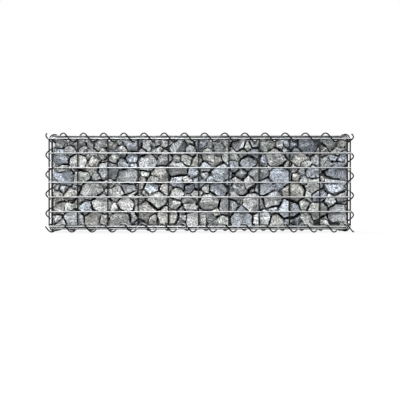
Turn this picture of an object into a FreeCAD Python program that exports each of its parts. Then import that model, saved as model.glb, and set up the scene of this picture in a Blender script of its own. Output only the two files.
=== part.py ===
# A gabion basket: six welded mesh panels laced together along their twelve edges by wire spirals,
# filled with crushed stone.
# Millimetres, +Z up, +X along the length. The front panel faces -Y, and the origin is at the middle
# of the surface that the basket stands on.
import FreeCAD, Part
import math
import os
import random
from FreeCAD import Vector

# The mesh: wire size, and the pitch and number of its openings
WIRE = 5.0
COLUMN = 100.0
ROW = 48.4
COLUMNS = 10
HEIGHT_ROWS = 6
DEPTH_ROWS = 6
END_COLUMNS = 3
UPRIGHT_SHIFT = -3.5

# The lid's and the base's edge wires, seen from the front panel's top and bottom wires: how far they
# lie behind its face beyond one wire, and how far above or below
LID_SETBACK = 6.3
LID_RISE = 8.0

# The spirals: wire, turns to each mesh opening that they run along, how loosely they hold the edge
# wires, and the length of the tails at the bottom corners. Held wires and play set their diameter.
SPIRAL_WIRE = 4.5
TURNS_PER_COLUMN = 1.5
TURNS_PER_ROW = 0.75
HOLD_PLAY = 0.6
TAIL = 10.0

# Gaps: between wires that don't touch, between spirals that meet at a corner, and between stones
CLEARANCE = 0.3
CORNER_CLEARANCE = 3.0
STONE_GAP = 0.3

# The stone fill: stones along, up and through the basket, and the bays that they are counted in
STONES_LONG = 16
STONES_HIGH = 4
STONES_DEEP = 3
BAYS = 8

# How uneven the stones are, as shares of their spacing or of their reach to the next stone
UNEVEN = 0.17
BOND = 0.22
CORNER_SPREAD = (0.85, 1.05)
CORNER_BROKEN = (0.93, 1.0)
FACE_BROKEN = (0.96, 1.0)
SEED = 7

# How finely things are made: wire sides, spiral sides to a turn and the shortest of them at an end,
# turning trials, tolerances, and how many steps away a stone looks for its neighbours
WIRE_SIDES = 8
SIDES_PER_TURN = 6
SHORTEST_SIDE = 0.2
PHASE_TRIALS = 48
SIDE_TRIALS = 4
PHASE_GAIN = 0.05
SHARED_POINT = 0.001
LEAST_SLOPE = 0.001
NEIGHBOURS = 2

half_wire = WIRE / 2.0
wire_corner = half_wire / math.cos(math.pi / WIRE_SIDES)

# From a spiral's axis to the middle of each of the two edge wires that it holds
hold = math.hypot(WIRE + LID_SETBACK, LID_RISE) / 2.0

# The helix runs through the corners of a regular polygon, in wire of square section whose area is
# that of the round wire, and clears the wires that it holds
half_flat = SPIRAL_WIRE * math.sqrt(math.pi) / 4.0
mitre = math.cos(math.pi / SIDES_PER_TURN)
helix_radius = (hold + wire_corner + HOLD_PLAY + half_flat) / mitre
spiral_outer = helix_radius + half_flat / mitre

# The planes of the wires, from the middle of the basket: front and back first, then the ends, then
# the lid and the base. Outermost wires of panels that meet lie twice the hold apart.
half_long = COLUMNS * COLUMN / 2.0
half_high = HEIGHT_ROWS * ROW / 2.0
half_deep = DEPTH_ROWS * ROW / 2.0 + half_wire
upright_plane = half_deep - WIRE
edge_upright = half_long - 2.0 * math.sqrt(hold ** 2 - half_wire ** 2)
end_upright = half_long - half_wire
end_row = end_upright - WIRE
lid_edge = half_deep - WIRE - LID_SETBACK
lid_plane = half_high + LID_RISE
cross_plane = lid_plane - WIRE
edge_cross = end_row - math.sqrt(4.0 * hold ** 2 - (cross_plane - half_high) ** 2)
lid_row = 2.0 * lid_edge / DEPTH_ROWS

# Turns run between the wires they cross, so the lid's and base's cross wires stand a quarter turn on
long_pitch = COLUMN / TURNS_PER_COLUMN
post_pitch = ROW / TURNS_PER_ROW
side_pitch = lid_row / TURNS_PER_ROW
cross_shift = long_pitch / 4.0

# Spiral axes, each in the middle of the wires that the spiral holds together
long_axis_y = (half_deep + lid_edge) / 2.0
long_axis_z = (half_high + lid_plane) / 2.0
post_axis_x = (edge_upright + half_long) / 2.0
post_axis_y = (upright_plane + half_deep) / 2.0
side_axis_x = (end_row + edge_cross) / 2.0
side_axis_z = (half_high + cross_plane) / 2.0
floor_z = long_axis_z + spiral_outer

AXES = {"x": Vector(1, 0, 0), "y": Vector(0, 1, 0), "z": Vector(0, 0, 1)}
ACROSS = {"x": "yz", "y": "zx", "z": "xy"}
SQUARE = ((1, 1), (1, -1), (-1, -1), (-1, 1))


# One straight wire, an octagonal prism with flats towards the wires that it crosses
def wire(start, end):
    run = end - start
    corners = []
    for index in range(WIRE_SIDES + 1):
        turn = math.pi * (2 * index + 1) / WIRE_SIDES
        corners.append(Vector(wire_corner * math.cos(turn), wire_corner * math.sin(turn), 0))
    prism = Part.Face(Part.makePolygon(corners)).extrude(Vector(0, 0, run.Length))
    prism.Placement = FreeCAD.Placement(start, FreeCAD.Rotation(Vector(0, 0, 1), run))
    return prism


# Evenly spaced places, the same number of steps each side of the middle
def spread(count, pitch):
    first = -count * pitch / 2.0
    return [first + pitch * index for index in range(count + 1)]


# The inner uprights or cross wires, with the two edge wires outside them
def columns(edge, shift):
    inner = [place + shift for place in spread(COLUMNS, COLUMN)[1:-1]]
    return [-edge] + inner + [edge]


# Where every wire of the six panels runs, as pairs of end points
def panel_wires():
    rows = spread(HEIGHT_ROWS, ROW)
    upright_end = half_high + half_wire
    panels = {}
    for name, side in (("front_panel", -1), ("back_panel", 1)):
        runs = []
        for z in rows:
            y = side * half_deep
            runs.append((Vector(-half_long, y, z), Vector(half_long, y, z)))
        for x in columns(edge_upright, UPRIGHT_SHIFT):
            y = side * upright_plane
            runs.append((Vector(x, y, -upright_end), Vector(x, y, upright_end)))
        panels[name] = runs
    lid_rows = spread(DEPTH_ROWS, lid_row)
    cross_end = upright_plane - half_wire - CLEARANCE
    lid_end = edge_cross + half_wire
    for name, side in (("base_panel", -1), ("lid_panel", 1)):
        runs = []
        for y in lid_rows:
            z = side * lid_plane
            runs.append((Vector(-lid_end, y, z), Vector(lid_end, y, z)))
        for x in columns(edge_cross, UPRIGHT_SHIFT + side * cross_shift):
            z = side * cross_plane
            runs.append((Vector(x, -cross_end, z), Vector(x, cross_end, z)))
        panels[name] = runs
    end_half = upright_plane + half_wire - CLEARANCE
    for name, side in (("left_end_panel", -1), ("right_end_panel", 1)):
        runs = []
        for z in rows:
            x = side * end_row
            runs.append((Vector(x, -end_half, z), Vector(x, end_half, z)))
        for y in spread(END_COLUMNS, 2.0 * upright_plane / END_COLUMNS):
            x = side * end_upright
            runs.append((Vector(x, y, -upright_end), Vector(x, y, upright_end)))
        panels[name] = runs
    return panels


# A point at a distance along a spiral's axis and at an angle round it
def round_axis(along, centre, distance, radius, angle):
    first, second = (AXES[letter] for letter in ACROSS[along])
    return (AXES[along] * distance + centre + first * (radius * math.cos(angle))
            + second * (radius * math.sin(angle)))


# Shortest distance from a point to a straight run
def distance_to_run(point, run):
    start, end = run
    span = end - start
    share = max(0.0, min(1.0, (point - start).dot(span) / span.dot(span)))
    return (point - start - span * share).Length


# Whether a wire comes near a spiral's axis
def beside(along, centre, run):
    gap = Vector()
    for letter in ACROSS[along]:
        low, high = sorted(end.dot(AXES[letter]) for end in run)
        here = centre.dot(AXES[letter])
        gap += AXES[letter] * (min(max(here, low), high) - here)
    return gap.Length < spiral_outer + WIRE


# A closed solid from its corner points and triangles
def faceted(points, triangles):
    skin = Part.Shape()
    skin.makeShapeFromMesh((points, triangles), SHARED_POINT, False)
    return Part.makeSolid(Part.Shell(skin.Faces))


# The corners of a right-handed spiral between two places on its axis: angle and place of each, with
# a corner at the highest and lowest point of every turn and one at each cut end
def spiral_corners(first, last, pitch, phase):
    step = 2.0 * math.pi / SIDES_PER_TURN
    lead = pitch / (2.0 * math.pi)
    corners = [(phase + first / lead, first)]
    index = math.floor((phase + first / lead + SHORTEST_SIDE * step) / step - 0.5) + 1
    while (index + 0.5 + SHORTEST_SIDE) * step < phase + last / lead:
        angle = (index + 0.5) * step
        corners.append((angle, (angle - phase) * lead))
        index += 1
    return corners + [(phase + last / lead, last)]


# A spiral as one solid: a square ring at each corner, mitred but for the cut ends, joined by facets
def spiral(along, centre, corners):
    lead = (corners[1][1] - corners[0][1]) / (corners[1][0] - corners[0][0])
    points = []
    for angle, place in corners:
        middle = round_axis(along, centre, place, helix_radius, angle)
        outward = round_axis(along, Vector(), 0.0, 1.0, angle)
        tangent = round_axis(along, Vector(), lead / helix_radius, 1.0, angle + math.pi / 2.0)
        sideways = tangent.normalize().cross(outward)
        deep = half_flat if place in (corners[0][1], corners[-1][1]) else half_flat / mitre
        for out, aside in SQUARE:
            points.append(middle + outward * (out * deep) + sideways * (aside * half_flat))
    ring = len(SQUARE)
    end = len(points) - ring
    triangles = []
    for near in range(0, end, ring):
        for side in range(ring):
            here, beside = near + side, near + (side + 1) % ring
            triangles.append((here, here + ring, beside + ring))
            triangles.append((here, beside + ring, beside))
    for side in range(1, ring - 1):
        triangles.append((0, side, side + 1))
        triangles.append((end, end + side + 1, end + side))
    return faceted(points, triangles)


# The corners of the spiral that threads past the mesh wires with the most room, found by turning it
def threaded(along, centre, first, last, pitch, runs):
    best_room, best = -1.0, None
    for trial in range(PHASE_TRIALS):
        corners = spiral_corners(first, last, pitch, 2.0 * math.pi * trial / PHASE_TRIALS)
        points = [round_axis(along, centre, place, helix_radius, angle) for angle, place in corners]
        room = spiral_outer
        for start, end in zip(points, points[1:]):
            for trial_point in range(SIDE_TRIALS):
                point = start + (end - start) * (trial_point / SIDE_TRIALS)
                room = min([room] + [distance_to_run(point, run) for run in runs])
            if room < best_room + PHASE_GAIN:
                break
        if room > best_room + PHASE_GAIN:
            best_room, best = room, corners
    return best


# The twelve spirals: name, direction, axis, and the half length that it laces
def spiral_places():
    post_top = floor_z - half_wire
    post_foot = -(long_axis_z - spiral_outer) + CORNER_CLEARANCE
    side_end = post_axis_y - spiral_outer - CORNER_CLEARANCE
    top_end = post_axis_x - spiral_outer - CORNER_CLEARANCE
    foot_end = half_long + TAIL
    places = []
    for face, y_side in (("front", -1), ("back", 1)):
        for edge, z_side, end in (("top", 1, top_end), ("bottom", -1, foot_end)):
            centre = Vector(0, y_side * long_axis_y, z_side * long_axis_z)
            places.append((f"{face}_{edge}_spiral", "x", centre, -end, end, long_pitch))
        for hand, x_side in (("left", -1), ("right", 1)):
            centre = Vector(x_side * post_axis_x, y_side * post_axis_y, 0)
            places.append((f"{face}_{hand}_spiral", "z", centre, post_foot, post_top, post_pitch))
    for hand, x_side in (("left", -1), ("right", 1)):
        for edge, z_side in (("top", 1), ("bottom", -1)):
            centre = Vector(x_side * side_axis_x, 0, z_side * side_axis_z)
            places.append((f"{hand}_{edge}_spiral", "y", centre, -side_end, side_end, side_pitch))
    return places


# The planes that keep a stone inside the mesh and clear of the spirals: outward normal and distance
def cage_planes():
    walls = []
    room = half_wire + CLEARANCE
    for letter, face in (("x", end_row), ("y", upright_plane), ("z", cross_plane)):
        for side in (-1, 1):
            walls.append((AXES[letter] * side, face - room))
    keep_out = spiral_outer + CLEARANCE
    edges = (("y", "z", long_axis_y + long_axis_z), ("x", "y", post_axis_x + post_axis_y),
             ("x", "z", side_axis_x + side_axis_z))
    for first, second, total in edges:
        for sign in (-1, 1):
            for other in (-1, 1):
                normal = (AXES[first] * sign + AXES[second] * other) * math.sqrt(0.5)
                walls.append((normal, total * math.sqrt(0.5) - keep_out))
    return walls


# Uneven rows of stone centres, each course shifted against the one below it
def stone_centres(chance):
    counts = (STONES_LONG, STONES_DEEP, STONES_HIGH)
    faces = (end_row, upright_plane, cross_plane)
    steps = [2.0 * (face - half_wire) / count for face, count in zip(faces, counts)]
    centres = {}
    for i in range(STONES_LONG):
        for j in range(STONES_DEEP):
            for k in range(STONES_HIGH):
                shift = BOND if (j + k) % 2 else -BOND
                place = []
                for axis, (index, count) in enumerate(zip((i, j, k), counts)):
                    lean = chance.uniform(-UNEVEN, UNEVEN) + (shift if axis == 0 else 0.0)
                    place.append((index + 0.5 + lean - count / 2.0) * steps[axis])
                centres[i, j, k] = Vector(*place)
    return centres


# How far a stone may reach from its centre in one direction before it meets a plane
def reach(centre, direction, planes):
    nearest = half_long
    for normal, distance in planes:
        slope = normal.dot(direction)
        if slope > LEAST_SLOPE:
            nearest = min(nearest, (distance - normal.dot(centre)) / slope)
    return nearest


# One stone: six bearing points towards its neighbours and eight broken corners between them
def stone(key, centres, walls, chance):
    centre = centres[key]
    planes = list(walls)
    for other, place in centres.items():
        apart = place - centre
        if other != key and max(abs(a - b) for a, b in zip(key, other)) <= NEIGHBOURS:
            normal = apart / apart.Length
            planes.append((normal, normal.dot(centre + apart / 2.0) - STONE_GAP / 2.0))
    points = []
    at_wall = []
    for axis, letter in enumerate("xyz"):
        for side in (-1, 1):
            near = list(key)
            near[axis] += side
            direction = AXES[letter] * side
            at_wall.append(tuple(near) not in centres)
            if not at_wall[-1]:
                direction = (centres[tuple(near)] - centre).normalize()
            points.append(centre + direction * reach(centre, direction, planes))
    half = [end_row / STONES_LONG, upright_plane / STONES_DEEP, cross_plane / STONES_HIGH]
    for sides in CORNERS:
        direction = Vector()
        outside = False
        for axis, letter in enumerate("xyz"):
            walled = at_wall[2 * axis + (sides[axis] > 0)]
            outside = outside or walled
            weight = 1.0 if walled else chance.uniform(*CORNER_SPREAD)
            direction += AXES[letter] * (sides[axis] * half[axis] * weight)
        direction.normalize()
        broken = chance.uniform(*(FACE_BROKEN if outside else CORNER_BROKEN))
        points.append(centre + direction * (broken * reach(centre, direction, planes)))
    return faceted(points, STONE_FACETS)


# The eight corner directions, and the four facets that close each of a stone's six sides
CORNERS = [(a, b, c) for a in (-1, 1) for b in (-1, 1) for c in (-1, 1)]
BEARINGS = 2 * len(AXES)
STONE_FACETS = []
for axis in range(3):
    for side in (-1, 1):
        ring = [index for index, sides in enumerate(CORNERS) if sides[axis] == side]
        ring = [ring[0], ring[1], ring[3], ring[2]]
        if (side > 0) == (axis == 1):
            ring.reverse()
        apex = 2 * axis + (side > 0)
        for near, next_to in zip(ring, ring[1:] + ring[:1]):
            STONE_FACETS.append((apex, BEARINGS + near, BEARINGS + next_to))


# Everything is set out about the middle of the basket, then raised to stand on the origin's level
def save(name, solids):
    node = Part.makeCompound(solids)
    node.translate(Vector(0, 0, floor_z))
    node.exportStep(f"parts/{name}.step")


os.makedirs("parts", exist_ok=True)
panels = panel_wires()
for name, runs in panels.items():
    save(name, [wire(start, end) for start, end in runs])

for name, along, centre, first, last, pitch in spiral_places():
    near = [run for runs in panels.values() for run in runs if beside(along, centre, run)]
    save(name, [spiral(along, centre, threaded(along, centre, first, last, pitch, near))])

chance = random.Random(SEED)
centres = stone_centres(chance)
walls = cage_planes()
groups = {}
for key in sorted(centres):
    bay = key[0] * BAYS // STONES_LONG + 1
    name = f"stones_bay_{bay}_course_{key[2] + 1}"
    groups.setdefault(name, []).append(stone(key, centres, walls, chance))
for name, stones in groups.items():
    save(name, stones)
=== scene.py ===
# A gabion basket: six welded mesh panels laced along their edges by wire spirals, full of crushed
# stone, on a white floor. Metres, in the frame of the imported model, front panel facing -Y.
import bpy
import bmesh
import math
import numpy as np
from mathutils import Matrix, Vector, noise


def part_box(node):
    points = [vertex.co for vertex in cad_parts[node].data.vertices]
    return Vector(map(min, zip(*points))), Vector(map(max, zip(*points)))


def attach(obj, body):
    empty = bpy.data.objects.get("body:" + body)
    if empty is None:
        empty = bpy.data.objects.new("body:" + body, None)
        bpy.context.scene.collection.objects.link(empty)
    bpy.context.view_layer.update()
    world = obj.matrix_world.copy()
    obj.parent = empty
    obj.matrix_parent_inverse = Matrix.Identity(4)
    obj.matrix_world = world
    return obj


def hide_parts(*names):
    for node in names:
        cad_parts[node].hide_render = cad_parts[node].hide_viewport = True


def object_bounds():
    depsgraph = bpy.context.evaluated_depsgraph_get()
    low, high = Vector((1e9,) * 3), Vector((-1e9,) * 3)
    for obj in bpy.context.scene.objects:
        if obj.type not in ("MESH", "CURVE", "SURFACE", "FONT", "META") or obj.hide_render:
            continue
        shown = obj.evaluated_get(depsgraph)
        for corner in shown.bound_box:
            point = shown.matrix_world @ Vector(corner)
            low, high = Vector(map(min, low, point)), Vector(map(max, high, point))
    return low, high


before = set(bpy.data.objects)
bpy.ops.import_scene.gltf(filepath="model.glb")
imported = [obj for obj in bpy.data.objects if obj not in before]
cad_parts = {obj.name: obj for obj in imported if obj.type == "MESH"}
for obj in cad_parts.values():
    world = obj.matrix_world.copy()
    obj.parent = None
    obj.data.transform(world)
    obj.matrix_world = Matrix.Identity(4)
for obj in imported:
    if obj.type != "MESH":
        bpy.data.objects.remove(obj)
cad_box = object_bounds()


# The camera: a long lens, level, square on to the front panel and aimed a little below its middle, as
# the photograph was taken. The frame is 400 pixels wide, and the mesh in it measures 3.3 mm to a pixel.
FRAME_PIXELS = 400
METRES_PER_PIXEL = 0.0033
LENS = 140.0
SENSOR = 36.0
CENTRE_PIXEL = (199.7, 182.5)
FARTHEST_SEEN = 100.0

low, high = cad_box
middle = (Vector(low) + Vector(high)) / 2
view_width = FRAME_PIXELS * METRES_PER_PIXEL
aim_x = middle.x + (FRAME_PIXELS / 2 - CENTRE_PIXEL[0]) * METRES_PER_PIXEL
aim_z = middle.z - (FRAME_PIXELS / 2 - CENTRE_PIXEL[1]) * METRES_PER_PIXEL
front_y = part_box("front_panel")[0].y
camera_data = bpy.data.cameras.new("camera")
camera_data.lens = LENS
camera_data.sensor_width = SENSOR
camera_data.clip_end = FARTHEST_SEEN
camera = bpy.data.objects.new("camera", camera_data)
camera.location = (aim_x, front_y - view_width * LENS / SENSOR, aim_z)
camera.rotation_euler = (math.pi / 2, 0, 0)
bpy.context.collection.objects.link(camera)
bpy.context.scene.camera = camera
bpy.context.scene.view_settings.view_transform = "Standard"


# The studio: a white world seen by the camera and in reflections, with little light of its own on the
# basket, a soft lamp in front and above, a weak one on the right, and two for its back and right end.
WHITE = "#FFFFFF"
WORLD_LIGHT = 0.12
KEY_SIZE = 1.8
KEY_POWER = 172.0
KEY_PLACE = (-0.9, -3.1, 1.4)
FILL_SIZE = 2.0
FILL_POWER = 24.0
FILL_PLACE = (2.4, -2.6, 0.8)
REAR_SIZE = 1.5
REAR_POWER = 210.0
REAR_PLACE = (-1.4, 3.1, 2.7)
SIDE_SIZE = 1.5
SIDE_POWER = 90.0
SIDE_PLACE = (3.3, 0.8, 1.3)


# sRGB hex to the linear colour that a socket takes
def colour(hexa):
    parts = [int(hexa[i:i + 2], 16) / 255 for i in (1, 3, 5)]
    return [p / 12.92 if p <= 0.04045 else ((p + 0.055) / 1.055) ** 2.4 for p in parts] + [1.0]


# The emptied node tree of a material or of the world
def bare_tree(owner):
    owner.use_nodes = True
    owner.node_tree.nodes.clear()
    return owner.node_tree


# Adds a node, sets its settings, and fills or links its inputs
def add(tree, kind, inputs=(), **settings):
    made = tree.nodes.new(kind)
    for name, value in settings.items():
        setattr(made, name, value)
    for name, value in dict(inputs).items():
        if isinstance(value, bpy.types.NodeSocket):
            tree.links.new(value, made.inputs[name])
        else:
            made.inputs[name].default_value = value
    return made


# 1 for the rays that the camera, a reflection or glass sees, and 0 for those that light the basket
def seen_rays(tree):
    path = add(tree, "ShaderNodeLightPath")
    seen = path.outputs["Is Camera Ray"]
    for kind in ("Is Glossy Ray", "Is Transmission Ray"):
        seen = add(tree, "ShaderNodeMath", {0: seen, 1: path.outputs[kind]}, operation="MAXIMUM").outputs[0]
    return seen


world = bpy.data.worlds.new("studio")
bpy.context.scene.world = world
tree = bare_tree(world)
strength = add(tree, "ShaderNodeMapRange", {"Value": seen_rays(tree), "To Min": WORLD_LIGHT, "To Max": 1.0})
sky = add(tree, "ShaderNodeBackground", {"Color": colour(WHITE), "Strength": strength.outputs[0]})
add(tree, "ShaderNodeOutputWorld", {"Surface": sky.outputs[0]})

for name, size, power, place in (("key", KEY_SIZE, KEY_POWER, KEY_PLACE),
                                 ("fill", FILL_SIZE, FILL_POWER, FILL_PLACE),
                                 ("rear", REAR_SIZE, REAR_POWER, REAR_PLACE),
                                 ("side", SIDE_SIZE, SIDE_POWER, SIDE_PLACE)):
    lamp_data = bpy.data.lights.new(name, "AREA")
    lamp_data.size = size
    lamp_data.energy = power
    lamp = bpy.data.objects.new(name, lamp_data)
    lamp.location = place
    lamp.rotation_euler = (middle - Vector(place)).to_track_quat("-Z", "Y").to_euler()
    bpy.context.collection.objects.link(lamp)


# The floor: matt grey, and for the camera and for reflections it glows as well, so that it meets the
# white ground behind without a line. It glows less near the basket, where the lamps light it, so
# that it keeps the basket's shadow.
FLOOR_HALF = 30.0
FLOOR_GREY = "#686868"
FLOOR_GLOW = 0.985
NEAR_GLOW = 0.84
NEAR_RADIUS = 0.8
FAR_RADIUS = 2.5

floor_mesh = bpy.data.meshes.new("floor")
floor_mesh.from_pydata([(-FLOOR_HALF, -FLOOR_HALF, 0), (FLOOR_HALF, -FLOOR_HALF, 0),
                        (FLOOR_HALF, FLOOR_HALF, 0), (-FLOOR_HALF, FLOOR_HALF, 0)], [], [(0, 1, 2, 3)])
floor = bpy.data.objects.new("floor", floor_mesh)
bpy.context.collection.objects.link(floor)
paper = bpy.data.materials.new("matt_studio_floor")
tree = bare_tree(paper)
away = add(tree, "ShaderNodeTexCoord")
away = add(tree, "ShaderNodeVectorMath", {0: away.outputs["Object"]}, operation="LENGTH")
level = add(tree, "ShaderNodeMapRange", {"Value": away.outputs["Value"], "From Min": NEAR_RADIUS,
                                         "From Max": FAR_RADIUS, "To Min": NEAR_GLOW, "To Max": FLOOR_GLOW})
strength = add(tree, "ShaderNodeMath", {0: seen_rays(tree), 1: level.outputs[0]}, operation="MULTIPLY")
matt = add(tree, "ShaderNodeBsdfDiffuse", {"Color": colour(FLOOR_GREY)})
glow = add(tree, "ShaderNodeEmission", {"Color": colour(WHITE), "Strength": strength.outputs[0]})
both = add(tree, "ShaderNodeAddShader", {0: matt.outputs[0], 1: glow.outputs[0]})
add(tree, "ShaderNodeOutputMaterial", {"Surface": both.outputs[0]})
floor_mesh.materials.append(paper)


# Welded mesh panels: drawn mild steel wire, 5 mm, spot welded where it crosses and hot dip
# galvanised, so each crossing is a little squashed and filled with zinc. Each panel is one piece.
WIRE_SIDES = 16
WIRE_ROUNDING = 0.0006
WELD_RADIUS = 0.0030
WELD_FLATTENING = 0.45
WELD_SEGMENTS = 8
WELD_RINGS = 6
CLUSTER_GAP = 0.005
SAME_PLACE = 0.0002
ASKEW = (0.3, 0.5, 0.8)
X, Y, Z = 0, 1, 2


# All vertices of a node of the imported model, as rows of x, y and z
def vertices(node):
    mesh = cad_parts[node].data
    places = np.empty(len(mesh.vertices) * 3)
    mesh.vertices.foreach_get("co", places)
    return places.reshape(-1, 3)


# The middle of each cluster of values that lie close together
def clusters(values, gap):
    values = np.sort(values)
    groups = np.split(values, np.where(np.diff(values) > gap)[0] + 1)
    return [(group[0] + group[-1]) / 2 for group in groups]


# A round tube along a path of points, its rings kept from twisting, with rounded ends. Its first ring
# starts from a direction that no wire runs in.
def tube(points, radius, sides):
    points = np.asarray(points, float)
    along = np.gradient(points, axis=0)
    along /= np.linalg.norm(along, axis=1)[:, None]
    side = np.cross(along[0], ASKEW)
    turns = np.linspace(0, 2 * math.pi, sides, endpoint=False)
    rings = []
    radii = np.full(len(points), radius)
    radii[0] = radii[-1] = radius - WIRE_ROUNDING
    for point, tangent, ring_radius in zip(points, along, radii):
        side = side - tangent * side.dot(tangent)
        side /= np.linalg.norm(side)
        up = np.cross(tangent, side)
        rings.append(point + ring_radius * (np.cos(turns)[:, None] * side + np.sin(turns)[:, None] * up))
    faces = []
    for ring in range(len(points) - 1):
        for k in range(sides):
            a, b = ring * sides + k, ring * sides + (k + 1) % sides
            faces.append((a, b, b + sides, a + sides))
    faces.append(tuple(range(sides))[::-1])
    faces.append(tuple(range((len(points) - 1) * sides, len(points) * sides)))
    return np.concatenate(rings), faces


# The points of a straight wire, with a short first and last length for its rounded ends
def straight(start, end):
    start, end = np.array(start), np.array(end)
    run = (end - start) / np.linalg.norm(end - start) * WIRE_ROUNDING
    return [start, start + run, end - run, end]


# One object from several meshes, riding on the basket and standing for the nodes it is made from.
# Its faces are smooth, apart from the wires' ends, which have more than four sides.
def piece(name, parts, material, nodes):
    points = np.concatenate([part[0] for part in parts])
    faces = []
    offset = 0
    for part_points, part_faces in parts:
        faces += [tuple(int(k) + offset for k in face) for face in part_faces]
        offset += len(part_points)
    mesh = bpy.data.meshes.new(name)
    mesh.from_pydata(points.tolist(), [], faces)
    mesh.polygons.foreach_set("use_smooth", [len(face) <= 4 for face in faces])
    mesh.materials.append(material)
    made = bpy.data.objects.new(name, mesh)
    bpy.context.collection.objects.link(made)
    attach(made, "root")
    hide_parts(*nodes)
    return made


# Hot dip galvanised steel: dull silver, mottled by zinc crystals a few millimetres across, with
# faint lighter bloom where the zinc has weathered. Where a face turns downwards its colour is
# painted near black: painted shade on the underside. The lid's wires are drawn in a greyer copy of
# the zinc and the uprights in an almost black copy, both painted shade. Each has a plain, a dark and a
# bloom tone.
ZINC = ("#CDD0D1", "#A8ABAD", "#DADCDC")
LID_SHADE_ZINC = ("#87898B", "#5C5F61", "#A5A7A8")
UPRIGHT_SHADE_ZINC = ("#1A1D1F", "#101214", "#303436")
# Painted shade on the wires' undersides: its colour, and the downward slope of the normal at which it is
# full
UNDERSIDE_SHADE_COLOUR = "#0E0F10"
UNDERSIDE_SHADE_SLOPE = -0.3
CRYSTAL_MM = 5.0
BLOOM_MM = 35.0
BLOOM_DETAIL = 4.0
BLOOM_FROM, BLOOM_TO = 0.5, 0.75
BLOOM_SHARE = 0.6
ROUGHNESS_SPREAD = 0.08
ZINC_RELIEF = 0.25
ZINC_RELIEF_MM = 0.8


def galvanised(name, zinc, metallic, roughness, shine):
    plain, dark, bloom = [colour(hexa) for hexa in zinc]
    steel = bpy.data.materials.new(name)
    tree = bare_tree(steel)
    place = add(tree, "ShaderNodeTexCoord").outputs["Object"]
    crystals = add(tree, "ShaderNodeTexVoronoi", {"Vector": place, "Scale": 1000 / CRYSTAL_MM})
    tone = add(tree, "ShaderNodeSeparateColor", {"Color": crystals.outputs["Color"]})
    mottle = add(tree, "ShaderNodeMix", {"Factor": tone.outputs[0], "A": plain, "B": dark},
                 data_type="RGBA")
    clouds = add(tree, "ShaderNodeTexNoise", {"Vector": place, "Scale": 1000 / BLOOM_MM,
                                              "Detail": BLOOM_DETAIL})
    share = add(tree, "ShaderNodeMapRange", {"Value": clouds.outputs[0], "From Min": BLOOM_FROM,
                                             "From Max": BLOOM_TO, "To Max": BLOOM_SHARE})
    bloomed = add(tree, "ShaderNodeMix", {"Factor": share.outputs[0], "A": mottle.outputs["Result"],
                                          "B": bloom}, data_type="RGBA")
    # Painted shade: faces that turn downwards are mixed towards near black
    facing = add(tree, "ShaderNodeNewGeometry")
    facing = add(tree, "ShaderNodeSeparateXYZ", {"Vector": facing.outputs["Normal"]})
    underside_shade = add(tree, "ShaderNodeMapRange", {"Value": facing.outputs["Z"], "From Min": 0.0,
                                             "From Max": UNDERSIDE_SHADE_SLOPE})
    shaded = add(tree, "ShaderNodeMix", {"Factor": underside_shade.outputs[0], "A": bloomed.outputs["Result"],
                                         "B": colour(UNDERSIDE_SHADE_COLOUR)}, data_type="RGBA")
    rough = add(tree, "ShaderNodeMapRange", {"Value": tone.outputs[1],
                                             "To Min": roughness - ROUGHNESS_SPREAD,
                                             "To Max": roughness + ROUGHNESS_SPREAD})
    bump = add(tree, "ShaderNodeBump", {"Height": clouds.outputs[0], "Strength": ZINC_RELIEF,
                                        "Distance": ZINC_RELIEF_MM / 1000})
    metal = add(tree, "ShaderNodeBsdfPrincipled", {"Base Color": shaded.outputs["Result"],
                                                   "Metallic": metallic, "Roughness": rough.outputs[0],
                                                   "Specular IOR Level": shine,
                                                   "Normal": bump.outputs[0]})
    add(tree, "ShaderNodeOutputMaterial", {"Surface": metal.outputs[0]})
    return steel


mesh_steel = galvanised("galvanised_mesh_wire", ZINC, metallic=0.35, roughness=0.46, shine=0.5)
# The lid's greyer copy of the zinc is painted shade
lid_shade_steel = galvanised("lid_shade_galvanised_wire", LID_SHADE_ZINC, metallic=0.25, roughness=0.5, shine=0.5)
# The uprights' near-black copy of the zinc is painted shade
upright_shade_steel = galvanised("painted_shade_galvanised_wire", UPRIGHT_SHADE_ZINC, metallic=0.05, roughness=0.62, shine=0.2)

# The bead of metal at a crossing
ball = bmesh.new()
bmesh.ops.create_uvsphere(ball, u_segments=WELD_SEGMENTS, v_segments=WELD_RINGS, radius=WELD_RADIUS)
nugget = np.array([vertex.co for vertex in ball.verts])
nugget_faces = sorted([vertex.index for vertex in face.verts] for face in ball.faces)
ball.free()

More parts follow.
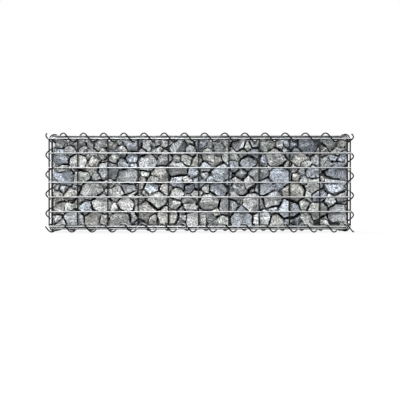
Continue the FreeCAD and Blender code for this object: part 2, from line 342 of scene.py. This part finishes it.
# Each panel: its normal, its outward side, and the directions that its outer and inner wires run in.
# It is two wires deep, and its uprights and the welds on them are drawn in the near-black copy of the zinc,
# painted shade.
PANELS = {"front_panel": (Y, -1, X, Z), "back_panel": (Y, 1, X, Z), "base_panel": (Z, -1, X, Y),
          "lid_panel": (Z, 1, X, Y), "left_end_panel": (X, -1, Z, Y), "right_end_panel": (X, 1, Z, Y)}
for name, (normal, outward, outer_run, inner_run) in PANELS.items():
    places = vertices(name)
    seam = (places[:, normal].min() + places[:, normal].max()) / 2
    radius = (places[:, normal].max() - places[:, normal].min()) / 4
    parts, painted_shade_faces = [], []
    lines = {}
    for run, across, side in ((outer_run, inner_run, outward), (inner_run, outer_run, -outward)):
        layer = places[(places[:, normal] - seam) * side > SAME_PLACE]
        first, last = layer[:, run].min(), layer[:, run].max()
        tips = layer[layer[:, run] < first + SAME_PLACE]
        lines[run] = clusters(tips[:, across], CLUSTER_GAP)
        for offset in lines[run]:
            ends = np.zeros((2, 3))
            ends[:, normal] = seam + side * radius
            ends[:, across] = offset
            ends[:, run] = first, last
            parts.append(tube(straight(*ends), radius, WIRE_SIDES))
            # Uprights take the near-black zinc: painted shade
            painted_shade_faces += [int(run == Z)] * len(parts[-1][1])
    bead = nugget.copy()
    bead[:, normal] *= WELD_FLATTENING
    for a in lines[outer_run]:
        for b in lines[inner_run]:
            centre = np.zeros(3)
            centre[normal], centre[inner_run], centre[outer_run] = seam, a, b
            parts.append((bead + centre, nugget_faces))
            painted_shade_faces += [int(Z in (outer_run, inner_run))] * len(nugget_faces)
    # The lid takes the greyer zinc, painted shade; the other panels take the bright zinc
    steel = lid_shade_steel if name == "lid_panel" else mesh_steel
    made = piece(name + "_wires", parts, steel, [name])
    made.data.materials.append(upright_shade_steel)
    made.data.polygons.foreach_set("material_index", painted_shade_faces)


# Lacing spirals: twelve springs of 4.5 mm galvanised wire, wound right-handed and screwed on along the
# edges round the two panels' outermost wires. Their zinc is painted near black as painted shade, apart
# from the half of the wire that faces the basket on the spirals up the corners and along the foot,
# which keeps the mesh's bright zinc.
SPIRAL_SIDES = 12
POINTS_PER_TURN = 32
SPIRAL_WIRE = 0.0045
# The spirals' near-black copy of the zinc: painted shade
SPIRAL_SHADE_ZINC = ("#0D0E0F", "#08090A", "#1E2021")

spiral_shade_steel = galvanised("painted_shade_spiral_wire", SPIRAL_SHADE_ZINC, metallic=0.05, roughness=0.6, shine=0.12)
spirals = sorted(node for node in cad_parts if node.endswith("_spiral"))
for name in spirals:
    places = vertices(name)
    size = places.max(axis=0) - places.min(axis=0)
    run = int(np.argmax(size))
    first, second = (run + 1) % 3, (run + 2) % 3
    axis = (places.max(axis=0) + places.min(axis=0)) / 2
    crests = places[places[:, second] > places[:, second].max() - SAME_PLACE]
    crests = clusters(crests[:, run], SPIRAL_WIRE * 2)
    pitch = (crests[-1] - crests[0]) / (len(crests) - 1)
    radius = size[second] / 2 - SPIRAL_WIRE / 2
    start = places[:, run].min() + SPIRAL_WIRE / 2
    end = places[:, run].max() - SPIRAL_WIRE / 2
    count = int((end - start) / pitch * POINTS_PER_TURN)
    steps = np.linspace(start, end, count)
    angles = math.pi / 2 + (steps - crests[0]) * 2 * math.pi / pitch
    points = np.zeros((count, 3))
    points[:, run] = steps
    points[:, first] = axis[first] + radius * np.cos(angles)
    points[:, second] = axis[second] + radius * np.sin(angles)
    strand = tube(points, SPIRAL_WIRE / 2, SPIRAL_SIDES)
    made = piece(name + "_wire", [strand], spiral_shade_steel, [name])
    made.data.materials.append(mesh_steel)
    outward = np.sign(axis - np.array(middle))
    outward[run] = 0
    along_lid = outward[Z] > 0
    off = np.array([strand[0][list(face)].mean(axis=0) for face in strand[1]]) - axis
    # The half facing the basket, except along the lid, keeps the bright zinc; the rest is painted shade
    bright_inner_half = (off @ outward < 0) & (not along_lid)
    made.data.polygons.foreach_set("material_index", bright_inner_half.astype(int))


# The stone fill: quarried limestone and basalt crushed to about 25 to 70 mm, tipped in and packed by
# hand against the mesh. Large stones bridge, and small ones fill the gaps between them. Each group of
# stones stands for one bay of one course.
STONE_RADII_MM = (35, 31, 27, 24, 21, 18, 15, 12)
THROWS = 5200
CROWDING = 0.78
LEAST_ROOM = 0.62
WIDER = 1.18
FLATTER = 0.88
SPIRAL_CORE = 0.008
SEED = 11

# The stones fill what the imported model's own stones fill, and along the edges they lie round the
# spirals' strands, clear of the wires in the middle of each spiral
stone_nodes = sorted(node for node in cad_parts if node.startswith("stones_"))
all_stones = np.concatenate([vertices(node) for node in stone_nodes])
cage_low, cage_high = all_stones.min(axis=0), all_stones.max(axis=0)
cage = [(direction * side, (cage_high if side > 0 else -cage_low)[axis])
        for axis, direction in enumerate(np.eye(3)) for side in (-1, 1)]
for name in spirals:
    corners = np.array(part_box(name))
    size = corners[1] - corners[0]
    outward = corners.mean(axis=0) - (cage_low + cage_high) / 2
    outward[int(np.argmax(size))] = 0
    outward = np.sign(outward) * (np.abs(outward) > SAME_PLACE)
    outward /= np.linalg.norm(outward)
    cage.append((outward, corners.mean(axis=0).dot(outward) - SPIRAL_CORE))
cage_normals = np.array([plane[0] for plane in cage])
cage_reaches = np.array([plane[1] for plane in cage])

# Stone centres: large stones are thrown in first and small ones into what room is left, measured
# in a space squashed so that stones come out wider than they are tall
chance = np.random.default_rng(SEED)
squash = np.array([1 / WIDER, 1.0, 1 / FLATTER])
centres, radii = np.zeros((0, 3)), np.zeros(0)
for radius in np.array(STONE_RADII_MM) / 1000:
    throws = chance.uniform(cage_low, cage_high, (THROWS, 3))
    rooms = cage_reaches - throws @ cage_normals.T
    for throw in throws[rooms.min(axis=1) > radius * LEAST_ROOM]:
        apart = np.linalg.norm((centres - throw) * squash, axis=1)
        if (apart > (radii + radius) * CROWDING).all():
            centres = np.vstack([centres, throw])
            radii = np.append(radii, radius)


# Directions spread evenly over a ball
def ball_of(count):
    index = np.arange(count) + 0.5
    height = 1 - 2 * index / count
    turn = index * math.pi * (3 - math.sqrt(5))
    level = np.sqrt(1 - height ** 2)
    return np.column_stack([level * np.cos(turn), level * np.sin(turn), height])


# The triangles of the convex hull of a set of points, as rows of indices
def hull_of(points):
    hull = bmesh.new()
    for point in points:
        hull.verts.new(point)
    hull.verts.index_update()
    bmesh.ops.convex_hull(hull, input=hull.verts)
    faces = np.array([[vertex.index for vertex in face.verts]
                      for face in hull.faces if len(face.verts) == 3])
    hull.free()
    return faces


# How a stone breaks. It reaches half way to its neighbours, or less beside a larger one, with a gap
# left between them. Its face against the mesh is tilted and set back a little, with facets that lean
# from it, less so where the mesh isn't the front or the back. The rest is chopped at random. Facets
# are left out where they would face a second wall, and nothing cuts a stone thinner than its least
# reach. Reaches without a unit are shares of the stone's own radius or of its depth behind the mesh.
NEAR_MM = 160
BEDDING_MM = (1.2, 5.6)
SPLIT_LIMITS = (0.25, 0.75)
CHOPS = 7
CHOP_REACH = (0.80, 1.25)
WALL_NEARNESS = 1.4
FRONT_OR_BACK = 0.9
OTHER_WALL_SHARE = 0.25
FACE_TILT = 0.24
FACE_SETBACK_MM = 3.5
MOST_SETBACK = 0.3
FACE_CHOPS = 4
FACE_CHOP_LEAN = (0.45, 1.15)
FACE_CHOP_REACH = (0.62, 0.98)
FACING_SLOPE = 0.3
LEAST_REACH = 0.2


# Directions scattered about a normal, leaning from it by a random slope
def leaning(normal, count):
    aside = np.cross(normal, chance.normal(0, 1, (count, 3)))
    aside /= np.linalg.norm(aside, axis=1)[:, None]
    leans = normal + aside * chance.uniform(*FACE_CHOP_LEAN, count)[:, None]
    return leans / np.linalg.norm(leans, axis=1)[:, None]


# The planes that a stone breaks along, as normals and distances from its centre, and whether any of
# them is a wall, so that the stone shows
def breaks(centre, radius):
    apart = centres - centre
    distance = np.linalg.norm(apart, axis=1)
    near = (distance > 0) & (distance < NEAR_MM / 1000)
    metric = np.linalg.norm(apart[near] * squash, axis=1)
    split = np.clip(0.5 + (radius ** 2 - radii[near] ** 2) / (2 * metric ** 2), *SPLIT_LIMITS)
    gaps = chance.uniform(*BEDDING_MM, near.sum()) / 1000
    normals = [apart[near] / distance[near][:, None]]
    reaches = [distance[near] * split - gaps / 2]
    room = cage_reaches - cage_normals @ centre
    normals.append(cage_normals)
    reaches.append(room)
    met = room < radius * WALL_NEARNESS
    walls = cage_normals[met]
    for normal, depth in zip(walls, room[met]):
        share = 1 if abs(normal[Y]) > FRONT_OR_BACK else OTHER_WALL_SHARE
        lean = normal + chance.normal(0, FACE_TILT * share, 3)
        lean /= np.linalg.norm(lean)
        setback = abs(chance.normal(0, FACE_SETBACK_MM * share)) / 1000
        facets = leaning(normal, FACE_CHOPS)
        facets = facets[((facets @ walls.T) > FACING_SLOPE).sum(axis=1) < 2]
        normals += [lean[None], facets]
        reaches.append([depth * lean.dot(normal) - min(setback, radius * MOST_SETBACK)])
        reaches.append(depth * chance.uniform(*FACE_CHOP_REACH, len(facets)))
    chops = chance.normal(0, 1, (CHOPS, 3))
    chops /= np.linalg.norm(chops, axis=1)[:, None]
    normals.append(chops)
    reaches.append(radius * np.linalg.norm(chops / squash, axis=1) * chance.uniform(*CHOP_REACH, CHOPS))
    return np.vstack(normals), np.maximum(np.concatenate(reaches), radius * LEAST_REACH), met.any()


# The corners of the solid that lies behind all the planes, and its edges as pairs of corners. The
# hull of the planes' dual points gives them: its triangles are the corners, its edges the edges.
def broken_edges(normals, reaches):
    triangles = hull_of(normals / reaches[:, None])
    corners = np.linalg.solve(normals[triangles], reaches[triangles][:, :, None])[:, :, 0]
    sides = {}
    for index, triangle in enumerate(triangles):
        for a, b in zip(triangle, np.roll(triangle, -1)):
            sides.setdefault((min(a, b), max(a, b)), []).append(index)
    return [corners[pair] for pair in sides.values() if len(pair) == 2]


# How finely a stone is made, if it shows and if it doesn't, and the sizes of break that roughen it,
# each with its depth. The breaks cut in where their noise is above a level.
OUTER_POINTS, INNER_POINTS = 210, 50
OUTER_EDGE_MM, INNER_EDGE_MM = 5.0, 16.0
SPACING_MM = 3.0
RIDGE_DECIMALS = 5
LEAST_SLOPE = 0.02
BREAKS_MM = ((26.0, 2.6), (9.0, 1.3), (4.0, 0.5))
BREAK_LEVEL = -0.4
SHARP_DEGREES = 24


# One stone: points along its edges and over its faces, roughened by breaks of several sizes
def stone(centre, radius):
    normals, reaches, outer = breaks(centre, radius)
    step = (OUTER_EDGE_MM if outer else INNER_EDGE_MM) / 1000
    ridge = []
    for start, end in broken_edges(normals, reaches):
        pieces = max(1, math.ceil(np.linalg.norm(end - start) / step))
        ridge += [start + (end - start) * index / pieces for index in range(pieces + 1)]
    ridge = np.unique(np.round(ridge, RIDGE_DECIMALS), axis=0)
    directions = ball_of(OUTER_POINTS if outer else INNER_POINTS)
    slopes = directions @ normals.T
    facing = np.where(slopes > LEAST_SLOPE, reaches / np.maximum(slopes, LEAST_SLOPE), np.inf).min(axis=1)
    flat = directions * facing[:, None]
    clear = np.linalg.norm(flat[:, None] - ridge[None], axis=2).min(axis=1) > SPACING_MM / 1000
    points = np.vstack([ridge, flat[clear]])
    lengths = np.linalg.norm(points, axis=1)
    directions = points / lengths[:, None]
    faces = hull_of(directions)
    for size, depth in BREAKS_MM:
        rough = np.array([noise.noise(Vector((point + centre) * 1000 / size)) for point in points])
        lengths = lengths - (rough - BREAK_LEVEL).clip(0) * depth / 1000
    lengths = np.maximum(lengths, radius * LEAST_REACH)
    return directions * lengths[:, None], faces


# Crushed stone: matt, broken faces with a coarse grain, speckled or streaked along the stone's own
# bed. Each stone has its own tone, from blue grey through neutral to a warm or greenish grey, fresh
# faces are paler than weathered ones, convex edges are bruised pale while hollows are darkened as
# painted shade, and ambient occlusion darkens the crevices as painted shade. The top course is
# painted darker, as shade under the lid. The grain is drawn coarser than it is, so that it shows.
STONE_TONES = ("#CED1D3", "#C6C9CC", "#D2D4D4", "#B7BEC6", "#CED0CF", "#BEC5CD", "#CAC9C5", "#B5B9BC",
               "#C9CDCA", "#B8BFCA", "#D4D5D5", "#C4C3C0")
TONE_SPREAD = (0.76, 1.0)
# The top course is painted darker, painted shade under the lid: how deep it reaches and by what factor
TOP_COURSE_MM = 52.0
TOP_COURSE_SHADE = 0.73
GRAIN_MM = 7.0
VEIN_MM = 18.0
PIT_MM = 6.0
# Painted shade in the crevices, by ambient occlusion: how far it looks and with how many rays
CREVICE_SHADE_MM = 12.0
CREVICE_SHADE_SAMPLES = 8
BEDDING_PLANES = 2.6
STONE_RELIEF_MM = 6.0
STONE_ROUGHNESS = 0.88
STONE_SHINE = 0.06

# Faces turned the same way are as fresh as each other, and FACET_SHIFT makes that differ from stone
# to stone with its tone
FACET_SCALE = 1.3
FACET_SHIFT = 40.0

# What each pattern does to the tone: where its dark and its light begin, and how dark and light
GRAIN_TONE = (0.38, 0.62, 0.26, 1.6)
VEIN_TONE = (0.34, 0.66, 0.8, 1.22)
# Pointiness: convex edges bruised pale, and hollows darkened as painted shade
BRUISE_AND_HOLLOW_SHADE_TONE = (0.42, 0.62, 0.7, 1.3)
FACET_TONE = (0.32, 0.68, 0.6, 1.35)
CREVICE_SHADE_TONE = (0.52, 0.88, 0.03, 1.0)

rock = bpy.data.materials.new("crushed_stone")
tree = bare_tree(rock)
own = add(tree, "ShaderNodeAttribute", attribute_name="stone_tone_with_top_shade")
bed = add(tree, "ShaderNodeAttribute", attribute_name="stone_bed")
grain = add(tree, "ShaderNodeTexNoise", {"Vector": bed.outputs["Vector"], "Scale": 1000 / GRAIN_MM,
                                         "Detail": 3.0, "Roughness": 0.7})
veins = add(tree, "ShaderNodeTexNoise", {"Vector": bed.outputs["Vector"], "Scale": 1000 / VEIN_MM,
                                         "Detail": 6.0, "Roughness": 0.65, "Distortion": 0.8})
pits = add(tree, "ShaderNodeTexNoise", {"Vector": bed.outputs["Vector"], "Scale": 1000 / PIT_MM,
                                        "Detail": 5.0, "Roughness": 0.75})
surface = add(tree, "ShaderNodeNewGeometry")
shift = add(tree, "ShaderNodeVectorMath", {0: own.outputs["Color"], "Scale": FACET_SHIFT},
            operation="SCALE")
facet = add(tree, "ShaderNodeVectorMath", {0: surface.outputs["Normal"], 1: shift.outputs[0]},
            operation="ADD")
facet = add(tree, "ShaderNodeTexNoise", {"Vector": facet.outputs[0], "Scale": FACET_SCALE, "Detail": 0.0})
# Ambient occlusion darkens crevices and the stone beside wires: painted shade
crevice_shade = add(tree, "ShaderNodeAmbientOcclusion", {"Distance": CREVICE_SHADE_MM / 1000}, samples=CREVICE_SHADE_SAMPLES)
layers = []
for pattern, (dark_from, light_from, dark, light) in ((grain.outputs[0], GRAIN_TONE),
                                                      (veins.outputs[0], VEIN_TONE),
                                                      (surface.outputs["Pointiness"], BRUISE_AND_HOLLOW_SHADE_TONE),
                                                      (facet.outputs[0], FACET_TONE),
                                                      (crevice_shade.outputs["AO"], CREVICE_SHADE_TONE)):
    layer = add(tree, "ShaderNodeMapRange", {"Value": pattern, "From Min": dark_from,
                                             "From Max": light_from, "To Min": dark, "To Max": light})
    layers.append(layer.outputs[0])
shade = layers[0]
for layer in layers[1:]:
    shade = add(tree, "ShaderNodeMath", {0: shade, 1: layer}, operation="MULTIPLY").outputs[0]
toned = add(tree, "ShaderNodeVectorMath", {0: own.outputs["Color"], "Scale": shade}, operation="SCALE")
height = add(tree, "ShaderNodeMath", {0: pits.outputs[0], 1: veins.outputs[0]}, operation="ADD")
bump = add(tree, "ShaderNodeBump", {"Height": height.outputs[0], "Strength": 1.0,
                                    "Distance": STONE_RELIEF_MM / 1000})
stony = add(tree, "ShaderNodeBsdfPrincipled", {"Base Color": toned.outputs[0],
                                               "Roughness": STONE_ROUGHNESS,
                                               "Specular IOR Level": STONE_SHINE,
                                               "Normal": bump.outputs[0]})
add(tree, "ShaderNodeOutputMaterial", {"Surface": stony.outputs[0]})

groups = {node: [] for node in stone_nodes}
middles = {node: sum(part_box(node), Vector()) / 2 for node in stone_nodes}
for centre, radius in zip(centres, radii):
    points, faces = stone(centre, radius)
    tone = np.array(colour(STONE_TONES[chance.integers(len(STONE_TONES))]))[:3]
    tone = tone * chance.uniform(*TONE_SPREAD)
    # Painted shade: stones of the top course are darkened
    if centre[Z] > cage_high[Z] - TOP_COURSE_MM / 1000:
        tone = tone * TOP_COURSE_SHADE
    turned = points @ np.linalg.qr(chance.normal(0, 1, (3, 3)))[0]
    bed = turned * (1, 1, BEDDING_PLANES) + chance.uniform(0, 1, 3)
    home = min(stone_nodes, key=lambda node: (middles[node].x - centre[X]) ** 2
               + (middles[node].z - centre[Z]) ** 2)
    groups[home].append((points + centre, faces, tone, bed))
for node, stones in groups.items():
    shapes = [(points, faces) for points, faces, tone, bed in stones]
    made = piece(node.replace("stones", "crushed_stones"), shapes, rock, [node])
    made.data.set_sharp_from_angle(angle=math.radians(SHARP_DEGREES))
    tones = made.data.attributes.new("stone_tone_with_top_shade", "FLOAT_COLOR", "POINT")
    tones.data.foreach_set("color", np.concatenate([np.tile(np.append(tone, 1.0), len(points))
                                                    for points, faces, tone, bed in stones]))
    beds = made.data.attributes.new("stone_bed", "FLOAT_VECTOR", "POINT")
    beds.data.foreach_set("vector", np.concatenate([bed.ravel() for points, faces, tone, bed in stones]))
